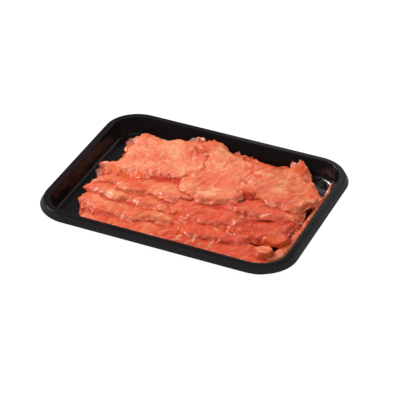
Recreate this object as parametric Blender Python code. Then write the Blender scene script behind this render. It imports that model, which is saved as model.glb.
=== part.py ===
"""An open tray of sliced smoked salmon.

One thin-walled black tray, and slices of salmon laid in rows from the front to
the back. Each slice is draped over what already lies in the tray.

Frame: metres, +Z up, +X along the tray's length, +Y to its back. The origin is
on the resting plane, under the middle of the tray.
"""
import math

import bmesh
import bpy
import numpy as np

MM = 0.001

# Tray, in millimetres
LENGTH = 227.0
WIDTH = 178.0
HEIGHT = 16.0
SHEET = 0.8            # thickness of the plastic
CORNER_R = 32.6        # outer corner radius at the foot of the skirt
SKIRT_DROP = 5.5       # height of the turned-down skirt
SKIRT_FLARE = 2.6      # how far the skirt leans out
RIM_WIDTH = 6.0        # flat band on top of the rim
RIM_ROUND = 1.0        # rounding of the rim's two edges
WALL_LEAN = 3.5        # how far the inner wall leans in on its way down
FOOT_ROUND = 3.0       # fillet between wall and floor
CORNER_STEPS = 6       # segments in each corner arc

# Slices, in millimetres
GAP = 0.42             # air kept between a slice and what it rests on
EDGE_SHARE = 0.45      # thickness at a slice's edge, as a share of its middle
STEPS_PER_SIDE = 3     # mesh points along each side of a slice's outline
RINGS_WIDE = (1.0, 0.86, 0.62, 0.32)
RINGS_SMALL = (1.0, 0.78, 0.42)
SMALL_SPAN = 52.0      # a slice narrower than this takes the coarser rings
CELL = 1.0             # spacing of the height grid that slices are draped on
DRAPE_ROUNDS = 260
STIFFNESS = 0.35       # how strongly a slice resists bending, per round
SINK = 0.12            # how far it sinks per round

# Each slice, from the lowest to the top one: name, thickness, corners (x, y).
# A smooth closed curve runs through the corners.
SLICES = (
    ("under_front_left", 2.4, ((-70, -73), (-79, -61), (-86, -47), (-80, -30),
                               (-46, -26), (-16, -32), (-8, -54), (-16, -74))),
    ("under_front_right", 2.4, ((-4, -74), (-2, -50), (8, -30), (42, -26), (74, -28),
                                (85, -36), (84, -50), (94, -60), (84, -73), (40, -75))),
    ("under_left", 2.0, ((-82, -25), (-94, -17), (-90, -6), (-97, 6), (-84, 20),
                         (-50, 22), (-18, 16), (-6, -4), (-18, -24), (-50, -28))),
    ("under_right", 2.0, ((2, -26), (-4, -4), (8, 18), (44, 24), (84, 22),
                          (93, 6), (92.2, -12), (84, -29), (44, -30))),
    ("under_back_left", 2.2, ((-82, 20), (-87, 42), (-93, 60), (-82, 67), (-54, 70),
                              (-30, 75), (-6, 75), (2, 44), (-14, 18), (-50, 16))),
    ("under_back_right", 2.2, ((6, 20), (4, 48), (9, 74), (22, 72), (42, 74),
                               (60, 76), (80, 62), (91, 42), (92, 22), (52, 16))),
    ("front_left", 2.6, ((-71, -74), (-78, -59), (-81, -46), (-48, -38), (-12, -42),
                         (12, -52), (12, -68), (4, -76), (-34, -76))),
    ("front_right", 2.6, ((2, -75), (8, -54), (36, -40), (74, -40), (86, -46),
                          (97, -60), (89, -73), (46, -76))),
    ("right_edge", 1.6, ((88, -61), (94, -60), (99.4, -46), (100, -2), (100, 40),
                         (99, 64), (97.4, 68), (95.8, 40), (94, 0), (91, -36))),
    ("row_two_left", 2.4, ((-86, -49), (-72, -57), (-46, -60), (-22, -54), (8, -51),
                           (14, -34), (-10, -22), (-54, -20), (-84, -26), (-89, -38))),
    ("row_two_middle", 2.2, ((2, -51), (18, -58), (40, -59), (60, -55), (74, -44),
                             (66, -26), (36, -16), (6, -24))),
    ("row_two_right", 3.4, ((73, -55), (82, -61), (91, -57), (92, -51), (85, -46),
                            (76, -48))),
    ("row_three_left", 2.2, ((-91, -29), (-68, -36), (-55, -41), (-44, -36), (-30, -40),
                             (-12, -35), (4, -29), (2, -8), (-36, 2), (-78, -2), (-90, -16))),
    ("row_three_right", 2.2, ((40, -30), (46, -43), (64, -43), (82, -40), (90, -31),
                              (91.5, -15), (91, 3), (60, 8), (38, -6))),
    ("row_three_middle", 2.0, ((-8, -31), (4, -40), (22, -39), (40, -35), (52, -25),
                               (46, -2), (14, 6), (-10, -8))),
    ("right_end", 2.2, ((76, -43), (87, -42), (94, -36), (96, -27), (91, -21),
                        (79, -33))),
    ("row_four_left", 2.0, ((-84, -6), (-88, -14), (-64, -21), (-50, -25), (-32, -20),
                            (-12, -23), (2, -11), (-6, 16), (-40, 20), (-76, 12))),
    ("back_left_tip", 2.0, ((-52, 66), (-46, 73), (-39, 77.5), (-31, 78.3), (-24, 77),
                            (-23, 67), (-36, 55))),
    ("back_middle", 2.0, ((-4, 60), (1, 75), (10, 77), (20, 76), (32, 73), (47, 71.5),
                          (56, 58), (50, 44), (34, 40), (8, 44))),
    ("top_left", 2.1, ((-97, 16), (-93, 6), (-77, -1), (-58, 0), (-41, 8), (-22, 12),
                       (-8, 24), (-4, 50), (-12, 73), (-38, 74), (-61, 70.5), (-79, 75.5),
                       (-87, 60), (-85, 36), (-87, 23))),
    ("row_five_right", 2.0, ((8, -10), (30, -12), (54, -15), (72, -11), (86, -4),
                             (94, 6), (94.5, 17), (80, 35), (44, 40), (14, 22))),
    ("top_middle", 2.1, ((-18, 2), (-17, 22), (-11, 44), (-24, 65), (-22, 78),
                         (-8, 78), (4, 75), (16, 72), (30, 70), (45, 69), (52, 50),
                         (46, 24), (38, -4), (10, -12))),
    ("top_right", 2.1, ((42, 11), (32, 24), (32, 46), (42, 67), (51, 75), (58, 78.3),
                        (70, 77), (86, 58), (98, 40), (97, 27), (90, 15), (66, 10))),
)

TRAY_PLASTIC = ("tray_plastic", (0.006, 0.006, 0.0065), 0.22)
SALMON = ("salmon", (0.68, 0.15, 0.075), 0.35)


def make_material(name, colour, roughness):
    material = bpy.data.materials.new(name)
    material.use_nodes = True
    shader = material.node_tree.nodes["Principled BSDF"]
    shader.inputs["Base Color"].default_value = (*colour, 1.0)
    shader.inputs["Roughness"].default_value = roughness
    shader.inputs["Metallic"].default_value = 0.0
    return material


def add_object(name, bm, material, sharp_angle):
    """Turn a closed shape into an object whose faces point out."""
    bmesh.ops.recalc_face_normals(bm, faces=bm.faces)
    if bm.calc_volume(signed=True) < 0:
        bmesh.ops.reverse_faces(bm, faces=bm.faces)
    mesh = bpy.data.meshes.new(name)
    bm.to_mesh(mesh)
    bm.free()
    mesh.materials.append(material)
    mesh.shade_smooth()
    mesh.set_sharp_from_angle(angle=math.radians(sharp_angle))
    obj = bpy.data.objects.new(name, mesh)
    bpy.context.scene.collection.objects.link(obj)
    return obj


# ---------------------------------------------------------------- tray

def quarter(centre, radius, start, end, steps=3):
    """Points on an arc in the tray's cross-section, angles in degrees."""
    angles = [math.radians(start + (end - start) * i / steps) for i in range(steps + 1)]
    return [(centre[0] + radius * math.cos(a), centre[1] + radius * math.sin(a))
            for a in angles]


def tray_section():
    """The cross-section as (inset from the outer outline, height).

    It runs from the middle of the floor's upper side out over the wall, the rim
    and the skirt, and back along the underside.
    """
    rim_outer = SKIRT_FLARE
    rim_inner = rim_outer + RIM_WIDTH
    foot = rim_inner + WALL_LEAN
    top = HEIGHT
    upper = [(foot + FOOT_ROUND, SHEET), (foot + 0.32 * FOOT_ROUND, SHEET + 0.3 * FOOT_ROUND),
             (foot, SHEET + FOOT_ROUND)]
    upper += quarter((rim_inner - RIM_ROUND, top - RIM_ROUND), RIM_ROUND, 0, 90)
    upper += quarter((rim_outer + RIM_ROUND, top - RIM_ROUND), RIM_ROUND, 90, 180)
    upper += [(0.0, top - SKIRT_DROP)]
    inner_round = RIM_ROUND * 0.4
    under = [(SHEET, top - SKIRT_DROP)]
    under += [(rim_outer + SHEET, top - SHEET - inner_round),
              (rim_outer + SHEET + inner_round, top - SHEET),
              (rim_inner - SHEET - inner_round, top - SHEET),
              (rim_inner - SHEET, top - SHEET - inner_round)]
    under += [(foot - SHEET, SHEET + FOOT_ROUND), (foot - 0.3 * SHEET, 0.3 * FOOT_ROUND),
              (foot + FOOT_ROUND, 0.0)]
    return upper + under


def rounded_loop(inset):
    """Corner arcs of the tray's outline, moved inwards by an inset."""
    half_x, half_y = LENGTH / 2 - CORNER_R, WIDTH / 2 - CORNER_R
    radius = CORNER_R - inset
    points = []
    for quarter_turn in range(4):
        start = quarter_turn * math.pi / 2
        sign_x = 1 if quarter_turn in (0, 3) else -1
        sign_y = 1 if quarter_turn in (0, 1) else -1
        for i in range(CORNER_STEPS + 1):
            angle = start + (math.pi / 2) * i / CORNER_STEPS
            points.append((sign_x * half_x + radius * math.cos(angle),
                           sign_y * half_y + radius * math.sin(angle)))
    return points


def make_tray(material):
    bm = bmesh.new()
    loops = [[bm.verts.new((x * MM, y * MM, height * MM)) for x, y in rounded_loop(inset)]
             for inset, height in tray_section()]
    for inner, outer in zip(loops, loops[1:]):
        for i in range(len(inner)):
            bm.faces.new((inner[i - 1], inner[i], outer[i], outer[i - 1]))
    bm.faces.new(loops[0])
    bm.faces.new(loops[-1])
    return add_object("tray", bm, material, 40)


# ---------------------------------------------------------------- slices

def inset_of(x, y):
    """How far a point lies inside the tray's outer outline."""
    qx = np.abs(x) - (LENGTH / 2 - CORNER_R)
    qy = np.abs(y) - (WIDTH / 2 - CORNER_R)
    outside = np.hypot(np.maximum(qx, 0), np.maximum(qy, 0))
    return CORNER_R - outside - np.minimum(np.maximum(qx, qy), 0)


class Bed:
    """The height of what already lies in the tray, on a grid of cells."""

    def __init__(self):
        xs = np.arange(-LENGTH / 2, LENGTH / 2 + CELL, CELL)
        ys = np.arange(-WIDTH / 2, WIDTH / 2 + CELL, CELL)
        self.x, self.y = np.meshgrid(xs, ys, indexing="ij")
        section = sorted(tray_section()[:8], reverse=True)
        insets = [-inset for inset, _ in section]
        heights = [height for _, height in section]
        self.height = np.interp(-inset_of(self.x, self.y), insets, heights)

    def widened(self):
        """Each cell takes the highest of itself and the eight cells around it."""
        high = self.height.copy()
        for axis in (0, 1):
            high = np.maximum(high, np.maximum(np.roll(high, 1, axis), np.roll(high, -1, axis)))
        return high


class Weave:
    """Where the bed's cells fall in the triangles of a flat slice."""

    def __init__(self, bed, points, triangles):
        cells, corners, weights = [], [], []
        for tri in triangles:
            (ax, ay), (bx, by), (cx, cy) = (points[i] for i in tri)
            area = (bx - ax) * (cy - ay) - (cx - ax) * (by - ay)
            low_x, high_x = min(ax, bx, cx) - CELL, max(ax, bx, cx) + CELL
            low_y, high_y = min(ay, by, cy) - CELL, max(ay, by, cy) + CELL
            near = np.flatnonzero((bed.x.ravel() > low_x) & (bed.x.ravel() < high_x)
                                  & (bed.y.ravel() > low_y) & (bed.y.ravel() < high_y))
            px, py = bed.x.ravel()[near], bed.y.ravel()[near]
            v = ((px - ax) * (cy - ay) - (cx - ax) * (py - ay)) / area
            w = ((bx - ax) * (py - ay) - (px - ax) * (by - ay)) / area
            share = np.stack([1 - v - w, v, w], 1)
            inside = share.min(1) > -1e-6
            cells.append(near[inside])
            weights.append(share[inside])
            corners.append(np.tile(tri, (int(inside.sum()), 1)))
        self.cells = np.concatenate(cells)
        self.corners = np.concatenate(corners)
        self.weights = np.concatenate(weights)

    def heights(self, z):
        return (z[self.corners] * self.weights).sum(1)

    def lift(self, z, floor):
        """Raise the points until no cell of the floor comes through."""
        short = np.maximum(floor - self.heights(z), 0)
        raise_by = short[:, None] * self.weights / (self.weights ** 2).sum(1)[:, None]
        lifted = np.zeros_like(z)
        np.maximum.at(lifted, self.corners.ravel(), raise_by.ravel())
        return z + lifted, short.max()


def smooth_outline(corners):
    """A closed Catmull-Rom curve through the corners."""
    points = [np.array(c, float) for c in corners]
    count = len(points)
    curve = []
    for i in range(count):
        p0, p1, p2, p3 = (points[(i + k - 1) % count] for k in range(4))
        for step in range(STEPS_PER_SIDE):
            t = step / STEPS_PER_SIDE
            curve.append(0.5 * (2 * p1 + (p2 - p0) * t + (2 * p0 - 5 * p1 + 4 * p2 - p3) * t ** 2
                                + (3 * p1 - p0 - 3 * p2 + p3) * t ** 3))
    return np.array(curve)


def flat_mesh(outline, rings):
    """Points and triangles of a flat slice, from its edge to its middle."""
    count = len(outline)
    centre = outline.mean(0)
    points = [centre + (outline - centre) * share for share in rings]
    triangles = []
    for ring in range(len(rings) - 1):
        for i in range(count):
            j = (i + 1) % count
            a, b = ring * count + i, ring * count + j
            c, d = a + count, b + count
            triangles += [(a, b, d), (a, d, c)]
    last = (len(rings) - 1) * count
    middle = len(rings) * count
    triangles += [(last + i, last + (i + 1) % count, middle) for i in range(count)]
    return np.concatenate(points + [centre[None]]), triangles


def neighbour_means(count, triangles):
    """For each point, a row of weights that averages its neighbours."""
    link = np.zeros((count, count))
    for a, b, c in triangles:
        for p, q in ((a, b), (b, c), (c, a)):
            link[p, q] = link[q, p] = 1
    return link / link.sum(1)[:, None]


def drape(bed, weave, means):
    """Lower a slice onto the bed, bending it as little as its stiffness allows."""
    floor = bed.widened().ravel()[weave.cells] + GAP
    z = np.full(len(means), floor.max())
    for _ in range(DRAPE_ROUNDS):
        z = z - SINK
        z = z + STIFFNESS * (means @ z - z)
        z, _ = weave.lift(z, floor)
    short = 1.0
    while short > 1e-4:
        z, short = weave.lift(z, floor)
    return z


def make_slice(bed, name, thickness, corners, material):
    outline = smooth_outline(corners)
    narrow = min(np.ptp(outline[:, 0]), np.ptp(outline[:, 1])) < SMALL_SPAN
    rings = RINGS_SMALL if narrow else RINGS_WIDE
    points, triangles = flat_mesh(outline, rings)
    weave = Weave(bed, points, triangles)
    under = drape(bed, weave, neighbour_means(len(points), triangles))
    depth = np.full(len(points), thickness)
    depth[:len(outline)] *= EDGE_SHARE
    over = under + depth
    np.maximum.at(bed.height.ravel(), weave.cells, weave.heights(over))

    bm = bmesh.new()
    tops = [bm.verts.new((x * MM, y * MM, z * MM)) for (x, y), z in zip(points, over)]
    feet = [bm.verts.new((x * MM, y * MM, z * MM)) for (x, y), z in zip(points, under)]
    for a, b, c in triangles:
        bm.faces.new((tops[a], tops[b], tops[c]))
        bm.faces.new((feet[c], feet[b], feet[a]))
    for i in range(len(outline)):
        j = (i + 1) % len(outline)
        bm.faces.new((tops[i], feet[i], feet[j], tops[j]))
    return add_object(name, bm, material, 60)


def main():
    for obj in list(bpy.data.objects):
        bpy.data.objects.remove(obj, do_unlink=True)
    make_tray(make_material(*TRAY_PLASTIC))
    bed = Bed()
    for name, thickness, corners in SLICES:
        material = make_material("salmon_" + name, SALMON[1], SALMON[2])
        make_slice(bed, "slice_" + name, thickness, corners, material)


main()
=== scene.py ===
"""An open black tray of sliced smoked salmon: the finish of the tray and the slices.

The solids of the frame give every size and place. The tray is pressed again as a
fine sheet, and each slice is draped again, on a fine grid, over what lies below it.
"""
import math

import bmesh
import bpy
import numpy as np
from mathutils import Matrix, Vector, noise
from mathutils.bvhtree import BVHTree


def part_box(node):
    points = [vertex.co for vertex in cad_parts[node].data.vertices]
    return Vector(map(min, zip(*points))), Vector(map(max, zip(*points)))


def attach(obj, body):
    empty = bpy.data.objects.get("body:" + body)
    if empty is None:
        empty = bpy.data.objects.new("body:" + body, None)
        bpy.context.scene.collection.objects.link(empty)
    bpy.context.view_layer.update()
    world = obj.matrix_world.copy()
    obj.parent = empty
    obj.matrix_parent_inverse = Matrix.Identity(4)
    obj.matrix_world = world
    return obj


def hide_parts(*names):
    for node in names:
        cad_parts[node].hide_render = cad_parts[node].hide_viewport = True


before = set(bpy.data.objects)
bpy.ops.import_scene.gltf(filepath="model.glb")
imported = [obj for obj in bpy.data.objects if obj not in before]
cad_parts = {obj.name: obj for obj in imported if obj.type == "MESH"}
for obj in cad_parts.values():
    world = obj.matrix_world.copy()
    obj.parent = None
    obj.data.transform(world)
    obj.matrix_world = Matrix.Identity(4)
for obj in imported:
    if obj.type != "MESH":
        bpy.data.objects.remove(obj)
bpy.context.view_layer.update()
MM = 0.001
TRAY_LOW, TRAY_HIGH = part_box("tray")

# Tray
SHEET = 0.8 * MM          # thickness of the plastic
SKIRT_DROP = 5.5 * MM     # height of the turned-down skirt
SKIRT_FLARE = 2.6 * MM    # how far the skirt leans out
SKIRT_TILT = 25           # degrees that the skirt leans from upright
SKIRT_RINGS = 2           # rings of faces, from the skirt's foot, with the skirt's finish
RIM_WIDTH = 6.0 * MM      # flat band on top of the rim
RIM_ROUND = 1.0 * MM      # rounding of the rim's two edges
WALL_LEAN = 3.5 * MM      # how far the inner wall leans in on its way down
WALL_TILT = 17            # degrees that the inner wall leans from upright
FOOT_ROUND = 3.0 * MM     # fillet between wall and floor
CORNER_R = 32.6 * MM      # outer corner radius at the foot of the skirt
CORNER_STEPS = 18         # flat steps around each corner
ARC_STEPS = (5, 5, 7)     # flat steps of the rim's two roundings and of the fillet
TRAY_TONES = ((0.006, 0.0042, 0.0046), (0.011, 0.0078, 0.0085))
SKIRT_TONES = ((0.019, 0.018, 0.019), (0.027, 0.026, 0.027))
WET_PLACES = (            # wet places in the back right corner: middle and radius
    ((0.092, 0.076, 0.003), 0.011),
    ((0.092, 0.066, 0.001), 0.011),
    ((0.100, 0.077, 0.010), 0.005),
)

# Slices
CELL = 0.65 * MM          # spacing of the grid that slices are draped on
MARGIN = 7 * CELL         # how far a slice's grid reaches past its outline
AIR = 0.02 * MM           # air kept between a slice and what it rests on
EDGE_ROUND = 1.0 * MM     # rounding of a slice's edge
EDGE_SHARE = (0.0, 0.75)  # least and most thickness left at the edge
RAGS = (                  # how the edge wanders: height and size in mm, and seed
    (2.0, 10, 0), (1.3, 4.5, 5), (0.7, 2.2, 7),
)
EDGE_SIZE = 9 * MM        # length of the thin and thick stretches of the edge
LOBES = 7.0 * MM          # how far the edge wanders where it lies on other slices
LOBE_SIZE = 13 * MM       # size of one such lobe
FULL_DEPTH = 14 * MM      # a slice this deep gets the full wander, thinning and sag
HEAPED = 0.4 * MM         # a floor this far above the bare tray is another slice
TAPER = 7.0 * MM          # width of the thinning towards the edge
PRESSED = 6.0 * MM        # width of the edge that sags towards what lies below
SAG = 3.5 * MM            # the most that an edge sags onto another slice
SAG_ON_TRAY = 0.7 * MM    # the most that it sags over the bare tray
BLUR_ROUNDS = 60          # rounds that smooth the facets of a solid
SETTLE_ROUNDS = 6         # rounds that settle a slice on what lies below it
SWELL_SIZE = 17 * MM      # size of a slice's broad swells
FOLD_SIZE = 8 * MM        # width of the folds across its bands
LUMP_SIZE = 6 * MM        # size of the lumps of its upper side
FIBRE_SIZE = 2.6 * MM     # width of the fibres on it
CREASE_SIZE = 9 * MM      # width between its creases
CREASED_SIZE = 24 * MM    # size of the stretches that have creases
BAND_REACH = 30 * MM      # half the stretch over which the muscle bands bend

# Each slice from the lowest to the top one: how deep its colour is (0 pale, 1 deep),
# the turn of its muscle bands in degrees, how far the bands bend, how clear the fat
# lines are, and how much the slice ripples, in millimetres.
SLICES = (
    ("under_front_left", 0.60, 80, 0.4, 0.5, 0.5),
    ("under_front_right", 0.75, 100, 0.4, 0.5, 0.5),
    ("under_left", 0.55, 20, 0.3, 0.5, 0.5),
    ("under_right", 0.75, 110, 0.4, 0.6, 0.5),
    ("under_back_left", 0.45, 50, 0.5, 0.5, 0.4),
    ("under_back_right", 0.55, 120, 0.5, 0.5, 0.4),
    ("front_left", 0.55, 15, 0.6, 0.7, 0.9),
    ("front_right", 0.75, -20, 0.6, 0.8, 1.0),
    ("right_edge", 0.30, 90, 0.1, 0.4, 0.4),
    ("row_two_left", 0.50, 10, 0.6, 0.6, 0.9),
    ("row_two_middle", 0.75, 25, 0.5, 0.7, 1.1),
    ("row_two_right", 0.70, 90, 0.1, 0.6, 0.5),
    ("row_three_left", 0.45, 5, 0.7, 0.6, 1.1),
    ("row_three_right", 0.85, 10, 0.3, 0.6, 0.8),
    ("row_three_middle", 0.65, -15, 0.6, 0.6, 1.0),
    ("right_end", 0.85, 30, 0.2, 0.3, 0.6),
    ("row_four_left", 0.40, -10, 0.7, 0.6, 1.0),
    ("back_left_tip", 0.40, 60, 0.3, 0.5, 0.6),
    ("back_middle", 0.45, 20, 0.3, 0.5, 0.6),
    ("top_left", 0.10, 40, 1.1, 0.9, 0.8),
    ("row_five_right", 0.60, 5, 0.4, 0.7, 1.1),
    ("top_middle", 0.25, 12, 0.8, 0.8, 1.0),
    ("top_right", 0.40, -8, 0.7, 0.7, 0.9),
)

# Places where a slice's edge stands up: slice, place, half sizes, turn and height in mm.
LIFTS = (
    ("top_middle", (36, 6), (9, 5), -10, 1.6),
    ("top_right", (92, 22), (6, 6), 0, 1.5),
    ("row_five_right", (66, -10), (9, 3), 5, 0.9),
    ("back_left_tip", (-29, 78), (5, 5), 0, 1.4),
    ("row_two_right", (84, -54), (7, 3), 10, 0.5),
)

# Marks on the slices: kind, place and half sizes in mm, turn in degrees, strength.
# The red marks, and the orange ones along slice edges and seams, are painted shade: the deep
# colour of the shaded crevices under slice edges.
MARKS_AND_SHADE = (
    ("red", (-35, 9), (12, 4.5), 16, 1.0),
    ("red", (-23, 13), (5, 4), 0, 1.0),
    ("red", (42, 13), (8, 2.2), -10, 0.9),
    ("red", (-40, -38), (7, 2.6), 0, 0.8),
    ("red", (1, -37), (3.5, 3), 0, 0.8),
    ("red", (8, -56), (9, 1.8), 15, 0.7),
    ("red", (-46, -60), (6, 2), 0, 0.5),
    ("orange", (-54, 3), (5.5, 5), 0, 1.0),
    ("orange", (-73, 1), (13, 2.6), -14, 0.9),
    ("orange", (-78, 6), (7, 3), -20, 0.7),
    ("orange", (39, 42), (4, 4), 0, 0.9),
    ("orange", (67, 68), (5, 5), 0, 0.8),
    ("orange", (-3, -36), (8, 4.5), 0, 1.0),
    ("orange", (-44, -62), (4.5, 3), 0, 0.9),
    ("orange", (11, -55), (10, 3), -8, 1.0),
    ("orange", (-24, -38), (6, 2.5), 20, 0.7),
    ("orange", (-66, 1), (8, 2), -12, 0.9),
    ("orange", (38, 17), (9, 4), -10, 0.6),
    ("orange", (-16, 34), (9, 2), 50, 0.6),
    ("orange", (88, -35), (11, 7), 20, 1.0),
    ("orange", (88, 50), (6, 12), 20, 0.4),
    ("orange", (94, 24), (5, 4), 0, 0.6),
    ("pale", (10, -1), (8, 4), 0, 0.4),
    ("pale", (66, -5), (1.4, 5), -30, 0.6),
    ("pale", (-66, -31), (5, 2.5), 0, 0.4),
    ("pale", (13, -65), (1.2, 5), 0, 0.5),
    ("pale", (25, -61), (1.1, 4.5), 10, 0.45),
    ("pale", (40, -60), (1.1, 4.5), -8, 0.45),
    ("pale", (82, -50), (6, 0.7), -8, 0.4),
    ("pale", (84, -53), (5, 0.5), 4, 0.5),
    ("pale", (81, -57), (6, 0.9), -4, 0.35),
    ("brown", (-37, 77), (8, 4), 8, 1.0),
    ("pale", (-28, 78.5), (3, 3), 0, 1.0),
    ("orange", (-20, 76), (4, 4), 0, 0.9),
    ("brown", (10, 77), (9, 2), 0, 0.4),
    ("brown", (-93, 2), (4, 7), 0, 0.7),
    ("brown", (-92, -12), (4, 5), 0, 0.8),
    ("brown", (-90, 58), (4, 8), 0, 0.6),
    ("brown", (60, 78), (5, 3), 0, 0.5),
)

# Colours of the flesh, from pale to deep, of its fat, of the painted deep-red shade in its
# seams and at its edges, and of the marks
FLESH_TONES = (
    (0.00, (0.80, 0.32, 0.170)),
    (0.20, (0.72, 0.185, 0.075)),
    (0.50, (0.66, 0.092, 0.026)),
    (0.80, (0.62, 0.046, 0.008)),
    (1.00, (0.48, 0.022, 0.003)),
)
FAT = (0.88, 0.50, 0.32)
BLUSH = (0.78, 0.19, 0.115)
PAINTED_SHADE_RED = (0.46, 0.032, 0.006)
COLOURS = {
    # red: painted shade of the crevices under slice edges
    "red": (0.50, 0.028, 0.006),
    "orange": (0.68, 0.085, 0.012),
    "brown": (0.28, 0.11, 0.10),
    "pale": (0.86, 0.48, 0.30),
}

# Studio
FLOOR_REACH = 6.0         # half the side of the floor, in metres
WORLD_STRENGTH = 0.34
WHITE, COOL = (1.0, 1.0, 1.0), (0.8, 0.92, 1.0)
LAMPS = (                 # name, place, aim, sides, watts and colour
    ("key", (-0.80, 0.17, 0.74), (0, 0, 0), (0.28, 0.28), 9.5, WHITE),
    ("back", (0.40, 0.90, 0.62), (0, 0, 0), (0.5, 0.4), 1.2, WHITE),
    ("corner", (-0.059, 0.416, 0.252), (0.088, 0.070, 0), (0.16, 0.16), 0.08, COOL),
    ("top", (0.1, -0.2, 1.2), (0, 0, 0), (1.0, 1.0), 6.0, WHITE),
)
CAMERA_ANGLES = (23.245, 34.168, 0.964)   # azimuth, elevation and roll in degrees
CAMERA_TARGET = (0.0117, -0.0183)         # the place on the rim's level that it looks at
CAMERA_DISTANCE = 1.573
LENS, SENSOR = 171.0, 36.0                # focal length and sensor width in mm


# ---------------------------------------------------------------- shader maths

class Field:
    """A value or colour in a material: sums and products on it add nodes."""

    def __init__(self, tree, socket):
        self.tree, self.socket = tree, socket

    def node(self, kind, settings=(), inputs=(), output=0):
        """Add a node of a kind, set it up, fill its inputs and give back an output."""
        node = self.tree.nodes.new(kind)
        for name, value in dict(settings).items():
            if name == "stops":
                ramp = node.color_ramp
                while len(ramp.elements) < len(value):
                    ramp.elements.new(0.5)
                for element, (place, colour) in zip(ramp.elements, value):
                    element.position, element.color = place, (*colour, 1.0)
            else:
                setattr(node, name, value)
        for name, value in dict(inputs).items():
            if isinstance(value, Field):
                self.tree.links.new(value.socket, node.inputs[name])
            else:
                node.inputs[name].default_value = value
        return Field(self.tree, node.outputs[output])

    def math(self, operation, *values):
        return self.node("ShaderNodeMath", {"operation": operation}, enumerate(values))

    def __add__(self, other):
        return self.math("ADD", self, other)

    def __radd__(self, other):
        return self.math("ADD", other, self)

    def __sub__(self, other):
        return self.math("SUBTRACT", self, other)

    def __rsub__(self, other):
        return self.math("SUBTRACT", other, self)

    def __mul__(self, other):
        return self.math("MULTIPLY", self, other)

    def __truediv__(self, other):
        return self.math("DIVIDE", self, other)

    def fract(self):
        return self.math("FRACT", self)

    def absolute(self):
        return self.math("ABSOLUTE", self)

    def between(self, low, high):
        """0 below low, 1 above high, and smooth in between."""
        settings = {"interpolation_type": "SMOOTHSTEP"}
        return self.node("ShaderNodeMapRange", settings,
                         {"Value": self, "From Min": low, "From Max": high})

    def mix(self, first, second):
        """The first colour where this mask is 0, the second where it is 1."""
        as_input = [(*c, 1.0) if isinstance(c, tuple) else c for c in (first, second)]
        return self.node("ShaderNodeMix", {"data_type": "RGBA"},
                         {0: self, 6: as_input[0], 7: as_input[1]}, output=2)

    def distance_to(self, point):
        return self.node("ShaderNodeVectorMath", {"operation": "DISTANCE"},
                         {0: self, 1: point}, output=1)

    def noise(self, scale, detail=2.0, roughness=0.5):
        return self.node("ShaderNodeTexNoise", {},
                         {"Vector": self, "Scale": scale, "Detail": detail,
                          "Roughness": roughness})


class Material:
    """A Principled material, with the places that its patterns can read."""

    def __init__(self, name, **constants):
        self.data = bpy.data.materials.new(name)
        self.data.use_nodes = True
        self.tree = self.data.node_tree
        self.shader = self.tree.nodes["Principled BSDF"]
        for socket, value in constants.items():
            self.shader.inputs[socket.replace("_", " ")].default_value = value

    def place(self):
        """Object coordinates, in metres."""
        return Field(self.tree, None).node("ShaderNodeTexCoord", output="Object")

    def attribute(self, name):
        return Field(self.tree, None).node(
            "ShaderNodeAttribute", {"attribute_name": name}, output="Fac")

    def set(self, socket, field):
        self.tree.links.new(field.socket, self.shader.inputs[socket])

    def bump(self, height, distance, strength=1.0):
        self.set("Normal", height.node("ShaderNodeBump", {},
                 {"Height": height, "Distance": distance, "Strength": strength}))


def finish_piece(name, bm, material, smooth_angle=None):
    """Turn a bmesh into a shown object."""
    mesh = bpy.data.meshes.new(name)
    bm.to_mesh(mesh)
    bm.free()
    mesh.materials.append(material)
    mesh.shade_smooth()
    if smooth_angle:
        mesh.set_sharp_from_angle(angle=math.radians(smooth_angle))
    piece = bpy.data.objects.new(name, mesh)
    bpy.context.scene.collection.objects.link(piece)
    return piece


# ---------------------------------------------------------------- tray

def arc(centre, radius, start, end, steps):
    """Points on an arc in the tray's cross-section, angles in degrees."""
    angles = [math.radians(start + (end - start) * i / steps) for i in range(steps + 1)]
    return [(centre[0] + radius * math.cos(a), centre[1] + radius * math.sin(a))
            for a in angles]


def tray_section(top):
    """The sheet's upper side as (inset from the outline, height), skirt to floor."""
    rim_inner = SKIRT_FLARE + RIM_WIDTH
    foot = rim_inner + WALL_LEAN
    section = [(0.0, top - SKIRT_DROP)]
    outer, inner, fillet = ARC_STEPS
    section += arc((SKIRT_FLARE + RIM_ROUND, top - RIM_ROUND), RIM_ROUND,
                   180 - SKIRT_TILT, 90, outer)
    section += arc((rim_inner - RIM_ROUND, top - RIM_ROUND), RIM_ROUND,
                   90, WALL_TILT, inner)
    section += arc((foot + FOOT_ROUND, SHEET + FOOT_ROUND), FOOT_ROUND,
                   180 + WALL_TILT, 270, fillet)
    return section


def make_tray(plastic, skirt):
    """The tray's upper side, inset ring by ring from its outline, and made a sheet."""
    length, width = (TRAY_HIGH - TRAY_LOW).xy
    section = tray_section(TRAY_HIGH.z)
    bm = bmesh.new()
    bmesh.ops.create_grid(bm, x_segments=1, y_segments=1, size=0.5)
    bmesh.ops.scale(bm, vec=(length, width, 1), verts=bm.verts)
    bmesh.ops.translate(bm, vec=(0, 0, section[0][1]), verts=bm.verts)
    bmesh.ops.bevel(bm, geom=bm.verts[:], offset=CORNER_R, affect="VERTICES",
                    segments=CORNER_STEPS, profile=0.5, material=-1)
    floor = bm.faces[:]
    for step, (here, beyond) in enumerate(zip(section, section[1:])):
        ring = bmesh.ops.inset_region(bm, faces=floor, thickness=beyond[0] - here[0],
                                      depth=beyond[1] - here[1], use_even_offset=True,
                                      use_boundary=True)["faces"]
        for face in ring:
            face.material_index = 1 if step < SKIRT_RINGS else 0
    piece = finish_piece("tray_shell", bm, plastic, 40)
    piece.data.materials.append(skirt)
    wall = piece.modifiers.new("sheet", "SOLIDIFY")
    wall.thickness = SHEET
    wall.offset = -1.0
    wall.use_even_offset = True
    return piece


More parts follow.
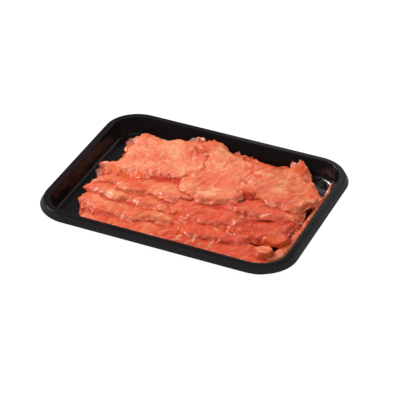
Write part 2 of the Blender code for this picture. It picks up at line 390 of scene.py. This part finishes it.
def tray_material():
    """Glossy black plastic, with a wet coat in one corner."""
    material = Material("tray_black", IOR=1.18, Coat_IOR=1.7, Coat_Roughness=0.30)
    place = material.place()
    patches = place.noise(22.0, 3.0)
    grain = place.noise(900.0, 2.0)
    ripple = place.noise(55.0, 1.0)
    material.set("Base Color", patches.mix(*TRAY_TONES))
    material.set("Roughness", 0.08 + patches * 0.08 + grain * 0.04)
    material.bump(ripple + grain * 0.03, 0.0006, 0.35)
    wet = sum(1.0 - place.distance_to(middle).between(radius * 0.4, radius * 1.2)
              for middle, radius in WET_PLACES)
    material.set("Coat Weight", wet * place.noise(260.0, 2.0).between(0.36, 0.55))
    return material.data


def skirt_material():
    """The duller finish of the tray's outer skirt."""
    material = Material("tray_skirt", IOR=1.12)
    place = material.place()
    grain = place.noise(600.0, 3.0)
    material.set("Base Color", grain.mix(*SKIRT_TONES))
    material.set("Roughness", 0.4 + grain * 0.2)
    material.bump(place.noise(140.0, 3.0), 0.0005, 0.5)
    return material.data


# ---------------------------------------------------------------- bed

class Bed:
    """The height of what already lies in the tray, on a fine grid."""

    def __init__(self):
        reach = SKIRT_FLARE + RIM_WIDTH
        self.xs = np.arange(TRAY_LOW.x + reach, TRAY_HIGH.x - reach, CELL)
        self.ys = np.arange(TRAY_LOW.y + reach, TRAY_HIGH.y - reach, CELL)
        self.x, self.y = np.meshgrid(self.xs, self.ys, indexing="ij")
        tray = BVHTree.FromPolygons(*plain_mesh(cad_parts["tray"]))
        self.bare = np.array([[self.drop(tray, x, y) for y in self.ys] for x in self.xs])
        self.height = self.bare.copy()

    @staticmethod
    def drop(tree, x, y):
        """The height at which something let fall at x, y meets a shape."""
        place = tree.ray_cast(Vector((x, y, 1.0)), Vector((0, 0, -1)))[0]
        return place.z if place else TRAY_HIGH.z

    def window(self, low, high):
        """The stretch of the grid between two corners."""
        i0, i1 = np.searchsorted(self.xs, (low[0], high[0]))
        j0, j1 = np.searchsorted(self.ys, (low[1], high[1]))
        return slice(i0, i1), slice(j0, j1)

    def read(self, window, values, x, y):
        """Values on a window of the grid, read in between its points."""
        u = np.clip((x - self.x[window][0, 0]) / CELL, 0, values.shape[0] - 1.001)
        v = np.clip((y - self.y[window][0, 0]) / CELL, 0, values.shape[1] - 1.001)
        i, j = u.astype(int), v.astype(int)
        du, dv = u - i, v - j
        return (values[i, j] * (1 - du) * (1 - dv) + values[i + 1, j] * du * (1 - dv)
                + values[i, j + 1] * (1 - du) * dv + values[i + 1, j + 1] * du * dv)


def plain_mesh(node):
    """Points and faces of a node's mesh."""
    return [v.co for v in node.data.vertices], [f.vertices[:] for f in node.data.polygons]


def around(values):
    """The mean of the four neighbours of each grid point."""
    padded = np.pad(values, 1, mode="edge")
    return (padded[2:, 1:-1] + padded[:-2, 1:-1] + padded[1:-1, 2:] + padded[1:-1, :-2]) / 4


def blur(values, rounds):
    for _ in range(rounds):
        values = around(values)
    return values


def waves(x, y, size, seed, turn=0.0, stretch=1.0):
    """Soft noise from -1 to 1: the size of its lumps, and their turn and stretch."""
    c, s = math.cos(math.radians(turn)), math.sin(math.radians(turn))
    u, v = (x * c + y * s) / (size * stretch), (y * c - x * s) / size
    flat = [noise.noise((a, b, seed)) for a, b in zip(u.ravel(), v.ravel())]
    return np.array(flat).reshape(x.shape)


def smooth(values):
    """A soft step from 0 to 1."""
    values = np.clip(values, 0, 1)
    return values * values * (3 - 2 * values)


# ---------------------------------------------------------------- slices

def outline_of(node):
    """The outline of a slice seen from above, and its thickness."""
    bm = bmesh.new()
    bm.from_mesh(node.data)
    bmesh.ops.remove_doubles(bm, verts=bm.verts, dist=1e-6)
    bm.normal_update()
    volume = bm.calc_volume()
    others = [f for f in bm.faces if f.normal.z < 0.05]
    bmesh.ops.delete(bm, geom=others, context="FACES")
    area = sum(f.calc_area() * f.normal.z for f in bm.faces)
    edges = {e for e in bm.edges if e.is_boundary}
    vert = min((e.verts[0] for e in edges), key=lambda v: v.co.x)
    points = []
    while edges:
        edge = next((e for e in vert.link_edges if e in edges), None)
        if edge is None:
            break
        edges.remove(edge)
        points.append(vert.co.xy[:])
        vert = edge.other_vert(vert)
    bm.free()
    return np.array(points), volume / area


def depth_inside(points, x, y):
    """How far each place lies inside an outline, negative outside."""
    nearest = np.full(x.shape, 1.0)
    inside = np.zeros(x.shape, bool)
    for (ax, ay), (bx, by) in zip(points, np.roll(points, -1, 0)):
        ex, ey = bx - ax, by - ay
        along = np.clip(((x - ax) * ex + (y - ay) * ey) / (ex * ex + ey * ey), 0, 1)
        nearest = np.minimum(nearest, np.hypot(x - ax - along * ex, y - ay - along * ey))
        if ay != by:
            crossing = ((ay > y) != (by > y)) & (x < ax + (y - ay) / (by - ay) * ex)
            inside ^= crossing
    return np.where(inside, nearest, -nearest)


def patch(x, y, place, size, turn=0.0, warp=0.0):
    """1 in the middle of an oval, 0 well outside it; its place and half sizes in mm."""
    c, s = math.cos(math.radians(turn)), math.sin(math.radians(turn))
    dx, dy = x / MM - place[0], y / MM - place[1]
    u, v = (dx * c + dy * s) / size[0], (dy * c - dx * s) / size[1]
    return smooth(1.6 * (1.3 - np.hypot(u, v)) + warp)


class Slice:
    """One slice: its outline, how it lies and how it is coloured."""

    def __init__(self, number, name, deep, turn, bend, lines, ripple):
        self.name, self.deep, self.turn, self.bend = name, deep, turn, bend
        self.lines, self.ripple, self.seed = lines, ripple * MM, 10.0 * number
        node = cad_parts["slice_" + name]
        self.outline, self.thickness = outline_of(node)
        self.solid = BVHTree.FromPolygons(*plain_mesh(node))

    def lay(self, bed):
        """Lay the slice on the bed: find its edge, underside and body, and raise the bed."""
        self.window = bed.window(self.outline.min(0) - MARGIN, self.outline.max(0) + MARGIN)
        x, y = bed.x[self.window], bed.y[self.window]
        floor = bed.height[self.window]
        heaped = blur((floor - bed.bare[self.window] > HEAPED).astype(float), SETTLE_ROUNDS)
        inside = depth_inside(self.outline, x, y)
        size = min(inside.max() / FULL_DEPTH, 1)
        self.depth = inside + self.wander(x, y, heaped) * size
        self.under = self.rest(x, y, floor, heaped, size)
        self.body = self.form(x, y, size)
        over = np.maximum(floor, self.under + self.body)
        bed.height[self.window] = np.where(self.depth > 0, over, floor)

    def wander(self, x, y, heaped):
        """How far the edge strays: a little everywhere, and in lobes on other slices."""
        ragged = sum(height * waves(x, y, size * MM, self.seed + seed)
                     for height, size, seed in RAGS) * MM
        lobes = LOBES * waves(x, y, LOBE_SIZE, self.seed + 51, self.turn, 1.4) * heaped
        return ragged + lobes

    def rest(self, x, y, floor, heaped, size):
        """The underside: rippled, clear of the floor, and sagging at the edge."""
        fold = waves(x, y, FOLD_SIZE, self.seed + 9, self.turn + 90, 2.6)
        swell = waves(x, y, SWELL_SIZE, self.seed + 11) + 0.6 * fold
        under = self.underside(x, y) + swell * self.ripple
        for _ in range(SETTLE_ROUNDS):
            under = around(np.maximum(under, floor + AIR))
        under = np.maximum(under, floor + AIR)
        reach = SAG_ON_TRAY + (SAG - SAG_ON_TRAY) * heaped
        sag = np.clip(under - floor + 0.1 * MM, 0, reach)
        lift = sum((height * MM * patch(x, y, place, half, turn)
                    for name, place, half, turn, height in LIFTS if name == self.name),
                   np.zeros_like(x))
        return under - sag * (1 - smooth(self.depth / (PRESSED * size))) + lift

    def form(self, x, y, size):
        """The thickness: little at the edge, and with lumps, fibres and creases inside."""
        round_edge = np.sqrt(1 - (1 - np.clip(self.depth / EDGE_ROUND, 0, 1)) ** 2)
        thin, thick = EDGE_SHARE
        wave = waves(x, y, EDGE_SIZE, self.seed + 41)
        left = thin + (thick - thin) * smooth(0.5 + wave * 2.0)
        share = left * round_edge + (1 - left) * smooth(self.depth / (TAPER * size))
        lumps = waves(x, y, LUMP_SIZE, self.seed + 13)
        fibres = waves(x, y, FIBRE_SIZE, self.seed + 15, self.turn + 90, 2.5)
        wave = waves(x, y, CREASE_SIZE, self.seed + 31, self.turn + 60, 2.2)
        creased = smooth(waves(x, y, CREASED_SIZE, self.seed + 33) * 3 + 0.3)
        crease = np.clip(1 - np.abs(wave) * 3.0, 0, 1) ** 3 * creased
        relief = 0.20 * lumps + 0.16 * fibres
        return self.thickness * share * (1 + relief - 0.45 * crease)

    def underside(self, x, y):
        """The solid's underside, carried on past its edge and freed of its facets."""
        rays = zip(x.ravel(), y.ravel())
        hits = [self.solid.ray_cast(Vector((a, b, -1.0)), Vector((0, 0, 1)))[0]
                for a, b in rays]
        z = np.array([hit.z if hit else 0.0 for hit in hits]).reshape(x.shape)
        known = z > 0
        while not known.all():
            share = around(known.astype(float))
            reached = ~known & (share > 0)
            z[reached] = around(z)[reached] / share[reached]
            known |= reached
        return blur(z, BLUR_ROUNDS)

    def covered(self, bed, others):
        """How far each place of the slice lies outside the edge of what covers it."""
        nearest = np.full(bed.height.shape, -1.0)
        for other in others:
            nearest[other.window] = np.maximum(nearest[other.window], other.depth)
        return -nearest[self.window]

    def make(self, bed, others, material):
        """Build the slice as a closed piece: its sheet, doubled and raised by its body."""
        bm, x, y = self.cut_sheet(bed)
        rim = np.array([v.is_boundary for v in bm.verts])
        bottom = bed.read(self.window, self.under, x, y)
        body = np.where(rim, 0, bed.read(self.window, self.body, x, y))
        layer = bm.verts.layers.float.new("body")
        for vert, place, thick in zip(bm.verts, zip(x, y, bottom), body):
            vert.co, vert[layer] = place, thick
        top = bmesh.ops.duplicate(bm, geom=bm.verts[:] + bm.edges[:] + bm.faces[:])["geom"]
        for vert in (g for g in top if isinstance(g, bmesh.types.BMVert)):
            vert.co.z += vert[layer]
        both_rims = [v for v in bm.verts if v.is_boundary]
        bmesh.ops.remove_doubles(bm, verts=both_rims, dist=1e-7)
        bmesh.ops.recalc_face_normals(bm, faces=bm.faces)
        piece = finish_piece("salmon_" + self.name, bm, material, 80)
        self.add_patterns(piece, bed, others)
        return piece

    def cut_sheet(self, bed):
        """A flat grid cut to the outline, with its rim moved onto it, and its places."""
        rows, columns = self.depth.shape
        slope_x, slope_y = np.gradient(self.depth, CELL)
        steep = np.maximum(slope_x ** 2 + slope_y ** 2, 0.25)
        bm = bmesh.new()
        bmesh.ops.create_grid(bm, x_segments=rows - 1, y_segments=columns - 1,
                              size=0.5)
        layer = bm.verts.layers.int.new("cell")
        for vert in bm.verts:
            i = round((vert.co.x + 0.5) * (rows - 1))
            j = round((vert.co.y + 0.5) * (columns - 1))
            vert[layer] = i * columns + j
        depth = self.depth.ravel()
        outside = [v for v in bm.verts if depth[v[layer]] < -0.45 * CELL]
        bmesh.ops.delete(bm, geom=outside, context="VERTS")
        stray = [v for v in bm.verts if not v.link_faces]
        bmesh.ops.delete(bm, geom=stray, context="VERTS")
        drop_narrows(bm)
        keep_largest(bm)
        cells = np.array([v[layer] for v in bm.verts])
        rim = np.array([v.is_boundary for v in bm.verts])
        push = np.where(rim, np.clip(depth[cells], -CELL, CELL), 0) / steep.ravel()[cells]
        x = bed.x[self.window].ravel()[cells] - push * slope_x.ravel()[cells]
        y = bed.y[self.window].ravel()[cells] - push * slope_y.ravel()[cells]
        return bm, x, y

    def add_patterns(self, piece, bed, others):
        """Store at each point what the flesh's colour depends on."""
        mesh = piece.data
        places = np.zeros(len(mesh.vertices) * 3)
        mesh.vertices.foreach_get("co", places)
        x, y, _ = places.reshape(-1, 3).T
        middle = self.outline.mean(0)
        angle = math.radians(self.turn)
        along = (x - middle[0]) * math.cos(angle) + (y - middle[1]) * math.sin(angle)
        across = -(x - middle[0]) * math.sin(angle) + (y - middle[1]) * math.cos(angle)
        zigzag = np.abs((across / BAND_REACH + 0.35) % 1.4 - 0.7) * 12 * MM
        band = along + self.bend * (across ** 2 / (2 * BAND_REACH) + zigzag)
        band += 3 * MM * waves(x, y, 20 * MM, self.seed + 21)
        warp = 1.1 * waves(x, y, 5 * MM, 3.0) + 0.8 * waves(x, y, 2.2 * MM, 5.0)
        fields = {"band": band / MM, "grain": across / MM,
                  "edge": bed.read(self.window, self.depth, x, y) / MM,
                  "seam": bed.read(self.window, self.covered(bed, others), x, y) / MM,
                  "deep": np.full(len(x), self.deep), "lines": np.full(len(x), self.lines)}
        for kind in COLOURS:
            marks = [strength * patch(x, y, place, half, turn, warp)
                     for mark, place, half, turn, strength in MARKS_AND_SHADE if mark == kind]
            fields[kind] = np.max(marks, axis=0)
        for label, values in fields.items():
            attribute = mesh.attributes.new(label, "FLOAT", "POINT")
            attribute.data.foreach_set("value", values.astype(np.float32))


def drop_narrows(bm):
    """Take away one-cell bridges and corners that only touch, which can't be closed."""
    while True:
        faces = {f for e in bm.edges if not e.is_boundary
                 and e.verts[0].is_boundary and e.verts[1].is_boundary
                 for f in e.link_faces}
        faces |= {f for v in bm.verts if sum(e.is_boundary for e in v.link_edges) > 2
                  for f in v.link_faces}
        if not faces:
            return
        bmesh.ops.delete(bm, geom=list(faces), context="FACES")


def keep_largest(bm):
    """Drop loose crumbs of a cut grid, leaving its largest part."""
    unseen, parts = set(bm.verts), []
    while unseen:
        part, front = set(), [unseen.pop()]
        while front:
            vert = front.pop()
            part.add(vert)
            for edge in vert.link_edges:
                other = edge.other_vert(vert)
                if other in unseen:
                    unseen.discard(other)
                    front.append(other)
        parts.append(part)
    parts.sort(key=len)
    crumbs = [v for part in parts[:-1] for v in part]
    bmesh.ops.delete(bm, geom=crumbs, context="VERTS")


def streaks(band, grain, across, along, detail):
    """Noise that runs with a slice's muscle bands."""
    return band.node("ShaderNodeCombineXYZ", {},
                     {0: band * across, 1: grain * along}).noise(1.0, detail)


def salmon_material():
    """Moist flesh, painted by what each slice stores at its points."""
    material = Material("salmon_flesh", IOR=1.32, Subsurface_Weight=0.3,
                        Subsurface_Scale=0.0007, Subsurface_Radius=(1.0, 0.35, 0.2),
                        Coat_Weight=0.18, Coat_Roughness=0.14)
    place = material.place()
    band, grain = material.attribute("band"), material.attribute("grain")
    edge, deep = material.attribute("edge"), material.attribute("deep")
    seam = material.attribute("seam")
    clouds = place.noise(45.0, 3.0)
    mottle = place.noise(330.0, 3.0)
    flakes = streaks(band, grain, 0.22, 0.06, 1.0)
    fibres = streaks(band, grain, 0.5, 0.14, 2.0)
    lumps = place.noise(150.0, 1.0)
    rough = place.noise(28.0, 1.0).between(0.36, 0.64) * 0.8 + 0.25

    # from pale pink through orange to deep red
    tone = (deep * 0.7 + (clouds - 0.5) * 1.6 + (flakes - 0.5) * 0.5
            + ((mottle - 0.5) * 0.8 + (fibres - 0.5) * 0.2) * rough)
    flesh = tone.node("ShaderNodeValToRGB", {"stops": FLESH_TONES}, {"Fac": tone + 0.10})
    blushed = place.noise(24.0, 1.0).between(0.40, 0.62) * (0.5 - deep * 0.6)
    flesh = blushed.mix(flesh, BLUSH)
    flesh = (lumps.between(0.60, 0.76) * 0.4).mix(flesh, COLOURS["orange"])
    fatty = (1.0 - lumps.between(0.26, 0.40)) * (0.4 - deep * 0.25)
    flesh = fatty.mix(flesh, FAT)

    # fat lines between the muscle bands, thin and broken
    ridge = ((band / 6.5 + (clouds - 0.5) * 1.6).fract() - 0.5).absolute() * 2.0
    line = ridge.between(0.50, 1.0) * place.noise(80.0, 2.0).between(0.44, 0.66)
    line *= material.attribute("lines")
    flesh = (line * 0.26).mix(flesh, FAT)

    # thin edges are pale; the slope along each edge gets a painted shade of orange, its
    # outermost band a painted deep-red shade, and flesh beside a slice that covers it a
    # painted deep-red shade, the shaded crevice under the covering edge
    wander = (mottle - 0.5) * 5.0
    broken = place.noise(95.0, 1.0)
    flank_shade = (1.0 - (edge + wander).between(0.3, 3.4)) * (1.0 - broken.between(0.38, 0.58))
    flesh = (flank_shade * 0.6).mix(flesh, COLOURS["orange"])
    thin = (1.0 - (edge + wander).between(0.4, 2.2)) * broken.between(0.55, 0.66)
    flesh = (thin * 0.6).mix(flesh, FAT)
    flesh = (1.0 - edge.between(0.20, 0.80)).mix(flesh, PAINTED_SHADE_RED)
    # painted shade: deep red in the crevice beside the edge of each covering slice
    wet = (1.0 - (seam + wander).between(0.2, 4.2)) * (1.0 - broken.between(0.45, 0.70))
    flesh = (wet * 0.9).mix(flesh, PAINTED_SHADE_RED)
    # the marks: the red ones and the orange ones at edges and seams are painted crevice
    # shade
    for kind, colour in COLOURS.items():
        flesh = material.attribute(kind).mix(flesh, colour)
    material.set("Base Color", flesh)
    material.set("Roughness", 0.42 + mottle * 0.2)
    material.bump(flakes * 0.5 + fibres * 0.15 + lumps * 1.5 + mottle * 0.35, 0.0008, 0.6)
    return material.data


# ---------------------------------------------------------------- studio

def add_floor():
    """A white ground that shines by itself, so that it shows as plain white."""
    bm = bmesh.new()
    bmesh.ops.create_grid(bm, x_segments=1, y_segments=1, size=FLOOR_REACH)
    material = Material("studio_floor", Base_Color=(0.06, 0.06, 0.06, 1.0), Roughness=0.9,
                        Emission_Color=(1.0, 1.0, 1.0, 1.0), Emission_Strength=0.99)
    floor = finish_piece("studio_floor", bm, material.data)


def add_area_light(name, place, aim, size, power, colour):
    light = bpy.data.lights.new(name, "AREA")
    light.shape = "RECTANGLE"
    light.size, light.size_y = size
    light.energy = power
    light.color = colour
    lamp = bpy.data.objects.new(name, light)
    lamp.location = place
    lamp.rotation_euler = (Vector(aim) - Vector(place)).to_track_quat("-Z", "Y").to_euler()
    bpy.context.scene.collection.objects.link(lamp)


def add_world(strength):
    world = bpy.data.worlds.new("studio")
    world.use_nodes = True
    background = world.node_tree.nodes["Background"]
    background.inputs["Color"].default_value = (1, 1, 1, 1)
    background.inputs["Strength"].default_value = strength
    bpy.context.scene.world = world


def add_camera():
    """A camera that circles its target, turned a little about its own line of sight."""
    azimuth, elevation, roll = (math.radians(angle) for angle in CAMERA_ANGLES)
    target = Vector((*CAMERA_TARGET, TRAY_HIGH.z))
    back = Vector((math.sin(azimuth) * math.cos(elevation),
                   -math.cos(azimuth) * math.cos(elevation), math.sin(elevation)))
    level = Vector((math.cos(azimuth), math.sin(azimuth), 0))
    right = (level * math.cos(roll) + back.cross(level) * math.sin(roll)).normalized()
    turned = Matrix((right, back.cross(right), back)).transposed().to_4x4()
    data = bpy.data.cameras.new("camera")
    data.lens, data.sensor_width = LENS, SENSOR
    camera = bpy.data.objects.new("camera", data)
    camera.matrix_world = Matrix.Translation(target + back * CAMERA_DISTANCE) @ turned
    bpy.context.scene.collection.objects.link(camera)
    bpy.context.scene.camera = camera


def main():
    tray = make_tray(tray_material(), skirt_material())
    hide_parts("tray")
    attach(tray, "root")
    bed = Bed()
    slices = [Slice(number, *looks) for number, looks in enumerate(SLICES)]
    for one in slices:
        one.lay(bed)
    flesh = salmon_material()
    for number, one in enumerate(slices):
        piece = one.make(bed, slices[number + 1:], flesh)
        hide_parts("slice_" + one.name)
        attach(piece, "root")
    add_floor()
    add_world(WORLD_STRENGTH)
    for lamp in LAMPS:
        add_area_light(*lamp)
    add_camera()
    bpy.context.scene.view_settings.view_transform = "Standard"


main()
